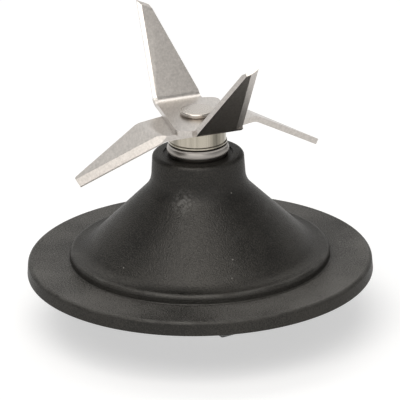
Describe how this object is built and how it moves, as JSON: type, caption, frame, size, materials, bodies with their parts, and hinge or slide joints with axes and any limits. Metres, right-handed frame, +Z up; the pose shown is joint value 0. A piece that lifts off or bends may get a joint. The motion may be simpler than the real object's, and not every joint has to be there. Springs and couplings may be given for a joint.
{
  "type": "blender blade unit",
  "caption": "Black moulded bell with a wide flange that seals the foot of a blender jar and carries a spindle with crossed, bent steel blades and a claw coupling below.",
  "frame": {"origin": "on the spindle's axis, at the level of the coupling's claw feet", "axes": "+Z up along the spindle, towards the blades; +X is right and +Y away in the picture's view"},
  "size_m": [0.0906, 0.0906, 0.0792],
  "materials": {
    "black_plastic": "very matte, fine grain",
    "satin_steel": "turned, satin",
    "bright_steel": "turned, bright",
    "blade_steel": "satin sheet with ground edges",
    "spindle_steel": "satin, riveted head",
    "spring_steel": "dark spring steel",
    "bronze": "sintered, dull",
    "insert_brass": "machined",
    "felt": "oiled felt",
    "seal_rubber": "matte",
    "washer_plastic": "smooth",
    "grey_plastic": "moulded, matte"
  },
  "bodies": {
    "base": {"base_bell": "black_plastic", "bearing_sleeve": "satin_steel", "upper_bush": "bronze", "lower_bush": "bronze", "oil_felt": "felt", "shaft_seal": "seal_rubber", "sleeve_clip": "spring_steel"},
    "cutter": {"spindle": "spindle_steel", "upper_blade": "blade_steel", "lower_blade": "blade_steel", "blade_spacer": "bright_steel", "upper_washer": "washer_plastic", "lower_washer": "washer_plastic", "spindle_clip": "spring_steel", "drive_coupling": "grey_plastic", "coupling_insert": "insert_brass"}
  },
  "joints": [
    {"name": "blade_spin", "type": "hinge", "parent": "base", "child": "cutter", "pos_m": [0, 0, 0.035], "axis": [0, 0, 1], "continuous": true}
  ]
}
